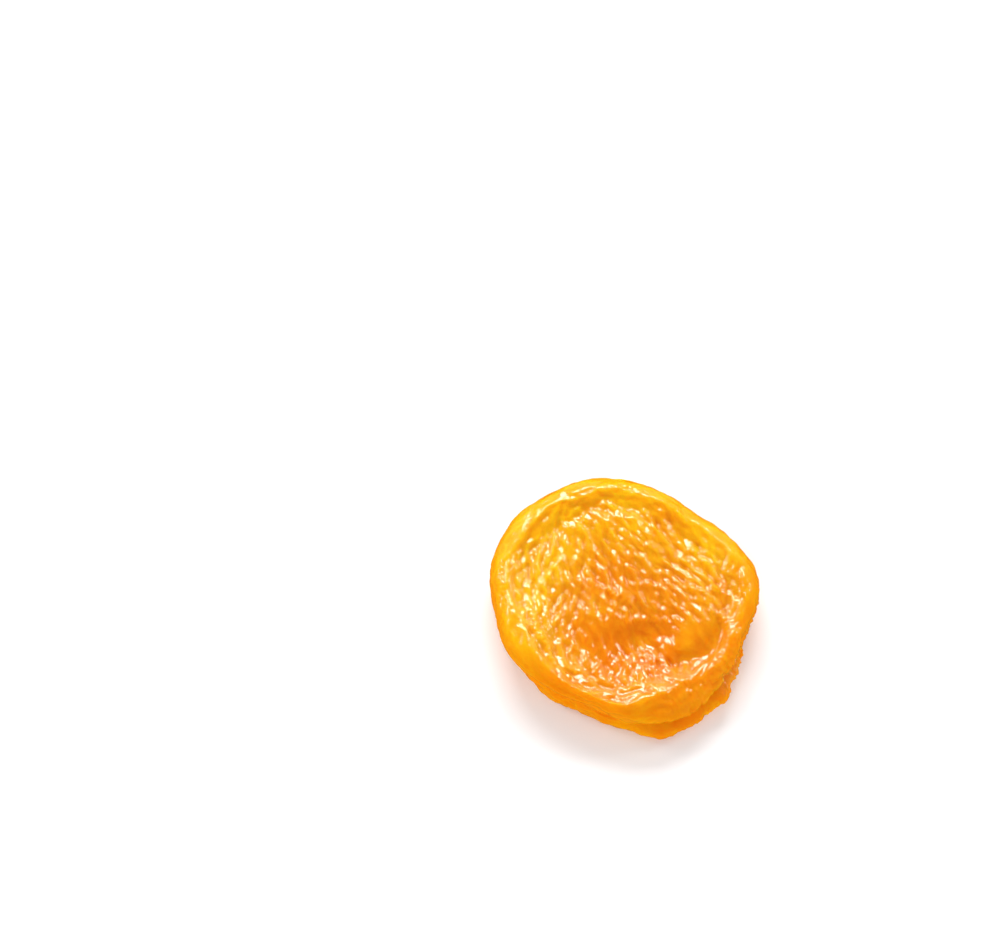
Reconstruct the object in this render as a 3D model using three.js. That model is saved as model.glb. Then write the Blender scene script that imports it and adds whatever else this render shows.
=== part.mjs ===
// A dried apricot: one whole fruit, stoned through a slit at its stem end, pressed flat and dried.
// Millimetres, +Z up. The fruit lies on its flatter face, and the origin is on the surface that it
// rests on, under the middle of its outline. Bearings are in degrees, anticlockwise from +X.
import * as THREE from "three";
import { mergeVertices } from "three/addons/utils/BufferGeometryUtils.js";

// Outline of both lips seen from above: a mean radius and waves of the bearing
const LIP_RADIUS = 19.2;
const LIP_WAVES = [
  { order: 2, height: 1.45, bearing: -34 },
  { order: 3, height: 0.18, bearing: -50 },
  { order: 4, height: 0.35, bearing: 22 },
  { order: 5, height: 0.36, bearing: 10 },
];

// The upper lip is drawn back where the stone was pushed out, and the lower lip stands out past it
const UPPER_LIP_BULGES = [{ height: -2.0, bearing: -44, halfWidth: 54 }];
const LOWER_LIP_BACK = 0.25;
const LOWER_LIP_BULGES = [
  { height: 0.5, bearing: -112, halfWidth: 34 },
  { height: 1.0, bearing: -76, halfWidth: 14 },
  { height: -0.62, bearing: -44, halfWidth: 38 },
  { height: 0.45, bearing: -45, halfWidth: 10 },
  { height: -0.35, bearing: -150, halfWidth: 26 },
  { height: -0.6, bearing: -14, halfWidth: 16 },
];

// The slit between the lips: a shallow seam all round, and a deep one at the mouth
const MOUTH = { bearing: -42, halfWidth: 50 };
const SEAM_HEIGHT = 4.1;
const SEAM_WAVES = [
  { order: 2, height: 0.4, bearing: 60 },
  { order: 3, height: 0.25, bearing: 100 },
  { order: 5, height: 0.2, bearing: 20 },
];
const SEAM_DEPTH = 0.45;
const SEAM_DEPTH_WAVES = [
  { order: 2, height: 0.2, bearing: 75 },
  { order: 3, height: 0.2, bearing: 195 },
];
const MOUTH_DEPTH = 2.6;
const LIP_GAP = 0.75;
const LIP_TURN_IN = 0.15;

// The rolled rim of the upper lip: its crest, how far the crest leans and swings round the fruit,
// and how far below the crest its shoulder and its widest place are
const RIM_HEIGHT = 8.5;
const RIM_LEAN = { order: 1, height: 0.35, bearing: 245 };
const RIM_DROP_AT_MOUTH = 1.3;
const RIM_WIDTH = 3.1;
const RIM_WIDTH_SWING = { order: 1, height: 0.75, bearing: 120 };
const RIM_WIDTH_BULGES = [
  { height: -1.1, bearing: -105, halfWidth: 35 },
  { height: 3.8, bearing: -63, halfWidth: 36 },
];
const CREST_IN = 0.7;
const SHOULDER_IN = 0.27;
const SHOULDER_DROP = 0.7;
const WIDEST_DROP = 2.2;

// The dished middle of the upper face, and the foot of the rim's inner slope. Each place is a share
// of the way from the middle to the top of the slope
const DISH_PLACES = { inner: 0.25, outer: 0.52, slopeFoot: 0.82 };
const DISH_HEIGHT = 7.0;
const DISH_RISE = 0.12;
const SLOPE_FOOT_RISE = 0.6;
const SLOPE_TOP_IN = 1.2;
const SLOPE_TOP_DROP = 0.85;

// The lower lip's widest place and its round lower edge, the low ring that the fruit rests on, and
// the hollow of the underside, whose places are shares of the way from the middle to the ring
const UNDERSIDE_PLACES = { inner: 0.25, outer: 0.5 };
const LOWER_WIDEST_HEIGHT = 1.95;
const LOWER_EDGE = { inward: 0.9, height: 0.5 };
const LOW_RING = { inward: 3.0, height: -0.05 };
const LOW_RING_INSIDE = { inward: 5.3, height: 0.55 };
const UNDERSIDE_HEIGHT = 1.6;
const UNDERSIDE_FALL = 0.25;

// Hollows pressed into the upper face: place, reach along X and Y, and depth. A depth below zero
// is a swelling. All of them die away near the lip
const HOLLOWS = [
  { x: 1.5, y: -8.0, reachX: 9.5, reachY: 5.0, depth: 1.6 },
  { x: 2.7, y: -6.6, reachX: 2.6, reachY: 2.2, depth: 0.4 },
  { x: -9.5, y: 1.5, reachX: 4.5, reachY: 8.0, depth: 0.6 },
  { x: 9.0, y: 4.0, reachX: 5.0, reachY: 4.0, depth: 0.35 },
  { x: -1.0, y: 10.5, reachX: 11.0, reachY: 5.5, depth: -0.55 },
];
const HOLLOW_EDGE_POWER = 6;
const TOP_TO_UNDERSIDE = 40;

// Three low places of the rim, which carry the fruit
const FOOT_WAVE = { order: 3, height: 0.35, bearing: 35 };

// Torn edge of the lips at the mouth: waves of the bearing, and where on the section it is torn
const TEAR_WAVES = [
  { order: 23, height: 0.14, bearing: 2 },
  { order: 37, height: 0.14, bearing: 6 },
  { order: 61, height: 0.12, bearing: 1 },
];
const LIP_EDGE = { share: 0.03, spread: 0.025 };

// Folds of the skin: overlapping patches of waves, each lying along the grain. The grain runs up
// the picture on the left and leans over towards the right, and follows the rim near it
const FOLD = { seed: 11, patches: 1000, spacing: 4.4, length: 3.4, width: 2.1, height: 0.62 };
const FOLD_PITCH = { least: 0.75, swing: 0.5 };
const FOLD_REACH_THROUGH = 1.7;
const FOLD_ON_RIM = 0.26;
const FOLD_LEVEL = 0.35;
const FOLD_PATCHY = { least: 0.6, swing: 0.4, middle: 0.5, most: 1.2 };
const FOLD_VALLEY = 1.6;
const FOLD_SHARPNESS = 1.3;
const FOLD_ROUNDING = 0.25;
const GRAIN = { leftBearing: 88, turn: 44, from: -13, to: 9, slant: 0.35 };
const GRAIN_BELOW = { bearing: 60, swing: 30, sway: 20, pitchX: 42, pitchY: 52 };
const GRAIN_WANDER = 30;
const RIMWARD = { from: 0.66, to: 0.86 };
const SEAM_CALM = 0.045;

// Wide soft swellings of the whole skin
const LUMP = { seed: 5, count: 24, size: 11, height: 0.26, onRim: 0.7 };
const LUMP_PITCH = { least: 0.75, swing: 0.8 };

// Single long creases that stand out on the upper face: start, bend and end in plan, and height
const CREASES = [
  { points: [[7.4, 1.5], [10.2, 1.0], [13.4, -0.5]], height: 0.32, width: 0.45 },
  { points: [[-5.1, 2.4], [-2.3, 0.9], [2.1, -2.4]], height: 0.3, width: 0.45 },
  { points: [[11.6, 6.0], [13.3, 3.6], [14.1, 0.8]], height: 0.35, width: 0.5 },
  { points: [[13.4, 6.0], [15.0, 3.6], [15.5, 0.4]], height: 0.25, width: 0.45 },
  { points: [[-0.7, -4.6], [2.2, -3.2], [5.2, -4.4]], height: 0.35, width: 0.6 },
  { points: [[2.6, -10.6], [4.4, -11.4], [5.8, -10.2]], height: 0.3, width: 0.5 },
  { points: [[-14.2, -1.0], [-13.2, -5.4], [-10.4, -9.6]], height: 0.35, width: 0.6 },
  { points: [[13.8, -1.9], [16.2, -6.4], [13.9, -11.6]], height: 0.6, width: 0.8 },
  { points: [[4.0, -15.2], [7.4, -13.8], [10.4, -10.9]], height: 0.35, width: 0.55 },
  { points: [[-17.6, 7.6], [-18.3, 3.4], [-17.7, -1.4]], height: 0.18, width: 0.4 },
  { points: [[-5.0, 16.6], [-1.6, 17.1], [2.6, 16.8]], height: 0.18, width: 0.4 },
];

// Fineness of the surface: 20 faces of an icosahedron, each cut into (SPLITS + 1) squared, with
// the points drawn in a little from the plain rim towards the folded faces
const SPLITS = 22;
const DRAWN_IN = 0.05;
const SAME_POINT = 1e-5;
const SKIN = { color: 0xf59a14, roughness: 0.3, metalness: 0.0 };

const TURN = Math.PI * 2;
const radians = THREE.MathUtils.degToRad;

// A repeatable source of numbers from 0 to 1
function seeded(seed) {
  let state = seed >>> 0;
  return () => {
    state = (state + 0x6d2b79f5) >>> 0;
    let mixed = Math.imul(state ^ (state >>> 15), state | 1);
    mixed = (mixed ^ (mixed + Math.imul(mixed ^ (mixed >>> 7), mixed | 61))) >>> 0;
    return ((mixed ^ (mixed >>> 14)) >>> 0) / 4294967296;
  };
}

const smooth = THREE.MathUtils.smoothstep;

// 1 at a bearing, falling to nothing a half width away from it
function near(theta, { bearing, halfWidth }) {
  const turned = (((theta * 360) / TURN - bearing + 180) % 360 + 360) % 360 - 180;
  const away = Math.abs(turned) / halfWidth;
  return away < 1 ? Math.cos((away * Math.PI) / 2) ** 2 : 0;
}

// The sum of some waves round the fruit, each with a crest at its bearing
function waves(list, theta) {
  return list.reduce((sum, w) => sum + w.height * Math.cos(w.order * (theta - radians(w.bearing))), 0);
}

// The sum of some swellings of a lip, each round its own bearing
function bulges(list, theta) {
  return list.reduce((sum, bulge) => sum + bulge.height * near(theta, bulge), 0);
}

const outline = (theta) => LIP_RADIUS + waves(LIP_WAVES, theta);
const upperLip = (theta) => outline(theta) + bulges(UPPER_LIP_BULGES, theta);
const lowerLip = (theta) => outline(theta) - LOWER_LIP_BACK + bulges(LOWER_LIP_BULGES, theta);

// The half section at one bearing, as [radius, height] from the middle of the top, over the rim,
// into the seam, round the lower lip and to the middle of the underside
const SLOPE_TOP = 4;
const SHOULDER = 6;
const LOWER_EDGE_STATION = 12;
const RING_INSIDE = 14;
function stations(theta) {
  const upper = upperLip(theta);
  const lower = lowerLip(theta);
  const open = near(theta, MOUTH);
  const seamDepth = SEAM_DEPTH + waves(SEAM_DEPTH_WAVES, theta) + MOUTH_DEPTH * open;
  const seam = Math.min(upper, lower) - seamDepth;
  const seamHeight = SEAM_HEIGHT + waves(SEAM_WAVES, theta);
  const rim = RIM_HEIGHT + waves([RIM_LEAN], theta) - RIM_DROP_AT_MOUTH * open;
  const width = RIM_WIDTH + waves([RIM_WIDTH_SWING], theta) + bulges(RIM_WIDTH_BULGES, theta);
  const slopeTop = upper - width - SLOPE_TOP_IN;
  const ring = lower - LOW_RING.inward;
  return [
    [0, DISH_HEIGHT],
    [DISH_PLACES.inner * slopeTop, DISH_HEIGHT],
    [DISH_PLACES.outer * slopeTop, DISH_HEIGHT + DISH_RISE],
    [DISH_PLACES.slopeFoot * slopeTop, DISH_HEIGHT + SLOPE_FOOT_RISE],
    [slopeTop, rim - SLOPE_TOP_DROP],
    [upper - CREST_IN * width, rim],
    [upper - SHOULDER_IN * width, rim - SHOULDER_DROP],
    [upper, rim - WIDEST_DROP],
    [upper - LIP_TURN_IN, seamHeight + LIP_GAP],
    [seam, seamHeight],
    [lower - LIP_TURN_IN, seamHeight - LIP_GAP],
    [lower, LOWER_WIDEST_HEIGHT],
    [lower - LOWER_EDGE.inward, LOWER_EDGE.height],
    [ring, LOW_RING.height],
    [lower - LOW_RING_INSIDE.inward, LOW_RING_INSIDE.height],
    [UNDERSIDE_PLACES.outer * ring, UNDERSIDE_HEIGHT - UNDERSIDE_FALL],
    [UNDERSIDE_PLACES.inner * ring, UNDERSIDE_HEIGHT],
    [0, UNDERSIDE_HEIGHT],
  ];
}

// How far along the section each station lies, from 0 to 1, measured once on a plain bearing
function stationKnots(theta) {
  const points = stations(theta).map(([radius, height]) => new THREE.Vector2(radius, height));
  const along = [0];
  for (let i = 1; i < points.length; i++) along.push(along[i - 1] + points[i].distanceTo(points[i - 1]));
  return along.map((length) => length / along[along.length - 1]);
}

const PLAIN_BEARING = 120;
const KNOTS = stationKnots(radians(PLAIN_BEARING));

// A smooth curve through the stations: its slope at each is that between the stations beside it
function section(theta, share) {
  const points = stations(theta);
  const last = points.length - 1;
  let k = 0;
  while (k < last - 1 && share >= KNOTS[k + 1]) k++;
  const gap = KNOTS[k + 1] - KNOTS[k];
  const u = (share - KNOTS[k]) / gap;
  const slope = (i, axis) => {
    const before = Math.max(i - 1, 0);
    const after = Math.min(i + 1, last);
    if (axis === 1 && before === after - 1) return 0;
    return ((points[after][axis] - points[before][axis]) / (KNOTS[after] - KNOTS[before])) * gap;
  };
  return [0, 1].map(
    (axis) =>
      (2 * u ** 3 - 3 * u ** 2 + 1) * points[k][axis] +
      (u ** 3 - 2 * u ** 2 + u) * slope(k, axis) +
      (3 * u ** 2 - 2 * u ** 3) * points[k + 1][axis] +
      (u ** 3 - u ** 2) * slope(k + 1, axis),
  );
}

// 1 on the upper face, 0 on the underside
const upperSide = (share) => 1 / (1 + Math.exp((share - 0.5) * TOP_TO_UNDERSIDE));

// The smooth body under the folds: a point of the skin at a bearing and a share of the section
function body(theta, share) {
  const [radius, height] = section(theta, share);
  const lipEdge = Math.exp(-(((Math.abs(share - 0.5) - LIP_EDGE.share) / LIP_EDGE.spread) ** 2));
  const r = radius + waves(TEAR_WAVES, theta) * lipEdge * near(theta, MOUTH);
  const x = r * Math.cos(theta);
  const y = r * Math.sin(theta);
  const out = Math.min(radius / LIP_RADIUS, 1);
  const pressed = HOLLOWS.reduce((sum, h) => {
    const away = ((x - h.x) / h.reachX) ** 2 + ((y - h.y) / h.reachY) ** 2;
    return sum + h.depth * Math.exp(-away);
  }, 0);
  const inner = 1 - out ** HOLLOW_EDGE_POWER;
  const z = height - upperSide(share) * pressed * inner - waves([FOOT_WAVE], theta) * out ** 2;
  return new THREE.Vector3(x, y, z);
}

const STEP = 1e-3;
const POLE_CLEARANCE = 2e-3;

// The outward direction of the smooth body
function outward(theta, share) {
  const s = THREE.MathUtils.clamp(share, POLE_CLEARANCE, 1 - POLE_CLEARANCE);
  const along = body(theta, s + STEP).sub(body(theta, s - STEP));
  const round = body(theta + STEP, s).sub(body(theta - STEP, s));
  return along.cross(round).normalize();
}

// How far out towards the lip a place is, from 0 at the middle to 1 at the lip
const outShare = (point, theta) => Math.hypot(point.x, point.y) / upperLip(theta);

// The way that the folds run at a place: across the face along the grain, and along the rim near it
function grainAt(theta, share, point, normal, turn) {
  const rightward = smooth(point.x + GRAIN.slant * point.y, GRAIN.from, GRAIN.to);
  const above = GRAIN.leftBearing + GRAIN.turn * rightward;
  const swing = GRAIN_BELOW.swing * Math.sin((TURN * point.x) / GRAIN_BELOW.pitchX);
  const sway = GRAIN_BELOW.sway * Math.cos((TURN * point.y) / GRAIN_BELOW.pitchY);
  const below = GRAIN_BELOW.bearing + swing - sway;
  const bearing = radians(share < 0.5 ? above : below) + turn;
  const ring = new THREE.Vector3(-Math.sin(theta), Math.cos(theta), 0);
  const face = new THREE.Vector3(Math.cos(bearing), Math.sin(bearing), 0);
  if (face.dot(ring) < 0) face.negate();
  const rimward = smooth(outShare(point, theta), RIMWARD.from, RIMWARD.to);
  const onRim = ring.clone().multiplyScalar(Math.cos(turn));
  onRim.addScaledVector(new THREE.Vector3().crossVectors(normal, ring), Math.sin(turn));
  const grain = face.multiplyScalar(1 - rimward).addScaledVector(onRim, rimward);
  return grain.addScaledVector(normal, -grain.dot(normal)).normalize();
}

// Patches of waves scattered evenly over the skin
function foldPatches({ seed, patches, spacing, length, width }) {
  const draw = seeded(seed);
  return Array.from({ length: patches }, () => {
    const theta = TURN * draw();
    const share = Math.acos(1 - 2 * draw()) / Math.PI;
    const phase = TURN * draw();
    const turn = radians(GRAIN_WANDER) * (draw() + draw() - 1);
    const pitch = spacing * (FOLD_PITCH.least + FOLD_PITCH.swing * draw());
    const centre = body(theta, share);
    const normal = outward(theta, share);
    const grain = grainAt(theta, share, centre, normal, turn);
    const across = new THREE.Vector3().crossVectors(normal, grain);
    return { centre, normal, grain, across, phase, pitch, length, width };
  });
}

// The folds' wave at a point: about 1 high, and 0 along each crest of a fold
const FAR_AWAY = 8;
const THIN_COVER = 0.02;
function foldWave(patches, point) {
  let sum = 0;
  let power = 0;
  const away = new THREE.Vector3();
  for (const p of patches) {
    away.subVectors(point, p.centre);
    const across = away.dot(p.across);
    const spread =
      (away.dot(p.grain) / p.length) ** 2 +
      (across / p.width) ** 2 +
      (away.dot(p.normal) / FOLD_REACH_THROUGH) ** 2;
    if (spread > FAR_AWAY) continue;
    const weight = Math.exp(-spread);
    sum += weight * Math.cos((TURN * across) / p.pitch + p.phase);
    power += weight ** 2;
  }
  return sum / Math.sqrt(power / 2 + THIN_COVER);
}

// Wide soft swellings
function lumpWaves({ seed, count, size }) {
  const draw = seeded(seed);
  return Array.from({ length: count }, () => {
    const up = 2 * draw() - 1;
    const round = TURN * draw();
    const flat = Math.sqrt(1 - up ** 2);
    const direction = new THREE.Vector3(flat * Math.cos(round), flat * Math.sin(round), up);
    const pitch = size * (LUMP_PITCH.least + LUMP_PITCH.swing * draw());
    return { direction: direction.multiplyScalar(TURN / pitch), start: TURN * draw() };
  });
}

function lumpAt(lumps, point) {
  const sum = lumps.reduce((total, lump) => total + Math.sin(lump.direction.dot(point) + lump.start), 0);
  return sum / Math.sqrt(lumps.length / 2);
}

// A crease is a raised line along a bent stroke, fading at both ends
const CREASE_STEPS = 12;
const CREASE_END = 0.02;
const strokes = CREASES.map(({ points, height, width }) => {
  const [start, bend, end] = points.map(([x, y]) => new THREE.Vector2(x, y));
  const control = bend.multiplyScalar(2).sub(start.clone().add(end).multiplyScalar(0.5));
  const path = new THREE.QuadraticBezierCurve(start, control, end).getPoints(CREASE_STEPS);
  return { path, height, width };
});

function creaseAt(point) {
  const here = new THREE.Vector2(point.x, point.y);
  return strokes.reduce((sum, { path, height, width }) => {
    const away = path.map((p) => p.distanceTo(here));
    const nearest = Math.min(...away);
    const place = THREE.MathUtils.clamp(away.indexOf(nearest) / CREASE_STEPS, CREASE_END, 1 - CREASE_END);
    const ends = Math.sqrt(Math.sin(Math.PI * place));
    return sum + height * ends * Math.exp(-((nearest / width) ** 2));
  }, 0);
}

// How far the folded skin stands out from the smooth body
function relief(theta, share, point, patches, lumps) {
  const wave = Math.min(Math.hypot(foldWave(patches, point), FOLD_ROUNDING), FOLD_VALLEY);
  const crest = (1 - wave / FOLD_VALLEY) ** FOLD_SHARPNESS;
  const lump = lumpAt(lumps, point);
  const onTop = 1 - smooth(share, KNOTS[SLOPE_TOP], KNOTS[SHOULDER]);
  const onFace = share < 0.5 ? onTop : smooth(share, KNOTS[LOWER_EDGE_STATION], KNOTS[RING_INSIDE]);
  const strength = THREE.MathUtils.lerp(FOLD_ON_RIM, 1, onFace);
  const crowded = THREE.MathUtils.clamp(FOLD_PATCHY.middle + lump, 0, FOLD_PATCHY.most);
  const patchy = FOLD_PATCHY.least + FOLD_PATCHY.swing * crowded;
  const folds = FOLD.height * (crest - FOLD_LEVEL) * strength * patchy;
  const swell = LUMP.height * lump * THREE.MathUtils.lerp(LUMP.onRim, 1, onFace);
  const creases = share < 0.5 ? creaseAt(point) : 0;
  const awayFromSeam = 1 - Math.exp(-(((share - 0.5) / SEAM_CALM) ** 2));
  return (folds + swell + creases) * awayFromSeam;
}

// A ball with one corner straight up, so that its middle row of points lies on the seam
function ball(splits) {
  const geometry = new THREE.IcosahedronGeometry(1, splits);
  const corner = new THREE.Vector3(-1, (1 + Math.sqrt(5)) / 2, 0).normalize();
  geometry.applyQuaternion(new THREE.Quaternion().setFromUnitVectors(corner, new THREE.Vector3(0, 0, 1)));
  geometry.deleteAttribute("normal");
  geometry.deleteAttribute("uv");
  return mergeVertices(geometry, SAME_POINT);
}

// The whole skin: each point of the ball goes to its bearing and its share of the section
function apricotSkin() {
  const geometry = ball(SPLITS);
  const patches = foldPatches(FOLD);
  const lumps = lumpWaves(LUMP);
  const place = geometry.getAttribute("position");
  const point = new THREE.Vector3();
  for (let i = 0; i < place.count; i++) {
    point.fromBufferAttribute(place, i);
    const theta = Math.atan2(point.y, point.x);
    const fall = Math.acos(THREE.MathUtils.clamp(point.z, -1, 1)) / Math.PI;
    const share = fall - DRAWN_IN * Math.sin(TURN * fall);
    const smoothPoint = body(theta, share);
    const height = relief(theta, share, smoothPoint, patches, lumps);
    const skin = smoothPoint.clone().addScaledVector(outward(theta, share), height);
    place.setXYZ(i, skin.x, skin.y, Math.max(skin.z, 0));
  }
  geometry.computeBoundingBox();
  const middle = geometry.boundingBox.getCenter(new THREE.Vector3());
  geometry.translate(-middle.x, -middle.y, 0);
  geometry.computeVertexNormals();
  return geometry;
}

const apricot = new THREE.Mesh(apricotSkin(), new THREE.MeshStandardMaterial(SKIN));
apricot.name = "dried_apricot";

const fruit = new THREE.Group();
fruit.add(apricot);
export default fruit;
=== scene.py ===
"""A dried apricot, stoned through a slit at its stem end, pressed flat and dried.

The solid gives the fruit's place and size. This script models the same skin again with the
same driving sizes, much finer, and adds the small folds, the frayed lips, the moist translucent
flesh and its gloss. Lengths are metres, and bearings are degrees, anticlockwise from +X.
"""

import logging
import math
from dataclasses import dataclass, field
from enum import Enum, IntEnum
from typing import Callable

import bmesh
import bpy
import numpy as np
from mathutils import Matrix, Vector


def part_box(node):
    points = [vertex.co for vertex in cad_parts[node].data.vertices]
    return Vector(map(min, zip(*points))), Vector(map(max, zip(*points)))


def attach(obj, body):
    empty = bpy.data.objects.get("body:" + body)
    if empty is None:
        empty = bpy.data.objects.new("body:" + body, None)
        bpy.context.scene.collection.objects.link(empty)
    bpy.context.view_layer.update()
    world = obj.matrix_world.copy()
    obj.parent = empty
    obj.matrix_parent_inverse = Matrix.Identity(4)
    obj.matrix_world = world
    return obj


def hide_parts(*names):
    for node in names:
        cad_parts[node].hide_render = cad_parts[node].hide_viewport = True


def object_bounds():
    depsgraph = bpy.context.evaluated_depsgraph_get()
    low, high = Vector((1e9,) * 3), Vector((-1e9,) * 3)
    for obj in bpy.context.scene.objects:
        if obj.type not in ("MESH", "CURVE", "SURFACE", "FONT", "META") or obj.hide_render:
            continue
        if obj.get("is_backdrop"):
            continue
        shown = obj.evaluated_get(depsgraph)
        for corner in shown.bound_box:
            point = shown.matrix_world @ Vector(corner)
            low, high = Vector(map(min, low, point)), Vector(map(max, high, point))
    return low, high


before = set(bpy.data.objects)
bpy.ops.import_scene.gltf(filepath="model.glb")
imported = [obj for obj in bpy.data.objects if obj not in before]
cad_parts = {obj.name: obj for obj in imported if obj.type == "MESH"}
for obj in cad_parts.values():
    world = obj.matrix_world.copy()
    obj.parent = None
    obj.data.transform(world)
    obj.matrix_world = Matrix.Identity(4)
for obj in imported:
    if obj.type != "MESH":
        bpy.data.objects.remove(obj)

MM = 0.001
TURN = 2 * math.pi
NODE = "dried_apricot"

Colour = tuple[float, float, float, float]

log = logging.getLogger("dried_apricot")


def seeded(seed: int) -> Callable[[], float]:
    """Makes a repeatable source of numbers.

    Args:
        seed: The number that the source starts from.

    Returns:
        A function that gives the next number, from 0 to 1.
    """
    whole = 0xFFFFFFFF
    state = [seed & whole]

    def draw() -> float:
        """Moves on to the next number.

        Returns:
            The number, from 0 to 1.
        """
        state[0] = (state[0] + 0x6D2B79F5) & whole
        mixed = ((state[0] ^ (state[0] >> 15)) * (state[0] | 1)) & whole
        mixed ^= (mixed + (((mixed ^ (mixed >> 7)) * (mixed | 61)) & whole)) & whole
        return (mixed ^ (mixed >> 14)) / 4294967296

    return draw


def smooth(value: np.ndarray, low: float, high: float) -> np.ndarray:
    """Rises smoothly from 0 at low to 1 at high.

    Args:
        value: The values to look up.
        low: Where the rise begins.
        high: Where it ends.

    Returns:
        The risen share of each value.
    """
    share = np.clip((value - low) / (high - low), 0, 1)
    return share * share * (3 - 2 * share)


class Station(IntEnum):
    """Named stations of the half section."""

    SLOPE_TOP = 4
    SHOULDER = 6
    WIDEST = 7
    LOWER_LIP = 10
    LOWER_EDGE = 12
    RING_INSIDE = 14


@dataclass(frozen=True)
class Wave:
    """A wave round the fruit, with a crest at its bearing."""

    order: int
    height: float
    bearing: float

    def at(self, theta: np.ndarray) -> np.ndarray:
        """Gives the wave's height at some bearings in radians."""
        return self.height * np.cos(self.order * (theta - math.radians(self.bearing)))


@dataclass(frozen=True)
class Bulge:
    """A swelling round one bearing, gone a half width away from it."""

    height: float
    bearing: float
    half_width: float

    def at(self, theta: np.ndarray) -> np.ndarray:
        """Works out the swelling's height.

        Args:
            theta: The bearings, in radians.

        Returns:
            The height at each bearing.
        """
        turned = (np.degrees(theta) - self.bearing + 180) % 360 - 180
        away = np.minimum(np.abs(turned) / self.half_width, 1)
        return self.height * np.cos(away * math.pi / 2) ** 2


@dataclass(frozen=True)
class Hollow:
    """A hollow pressed into the upper face."""

    x: float
    y: float
    reach_x: float
    reach_y: float
    depth: float

    def at(self, x: np.ndarray, y: np.ndarray) -> np.ndarray:
        """Gives the hollow's depth at some places in plan."""
        away = ((x - self.x) / self.reach_x) ** 2 + ((y - self.y) / self.reach_y) ** 2
        return self.depth * np.exp(-away)


def total(waves: tuple, theta: np.ndarray) -> np.ndarray:
    """Adds up waves or bulges at some bearings.

    Args:
        waves: The waves or bulges.
        theta: The bearings, in radians.

    Returns:
        Their sum at each bearing.
    """
    return sum((wave.at(theta) for wave in waves), np.zeros_like(theta))


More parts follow.
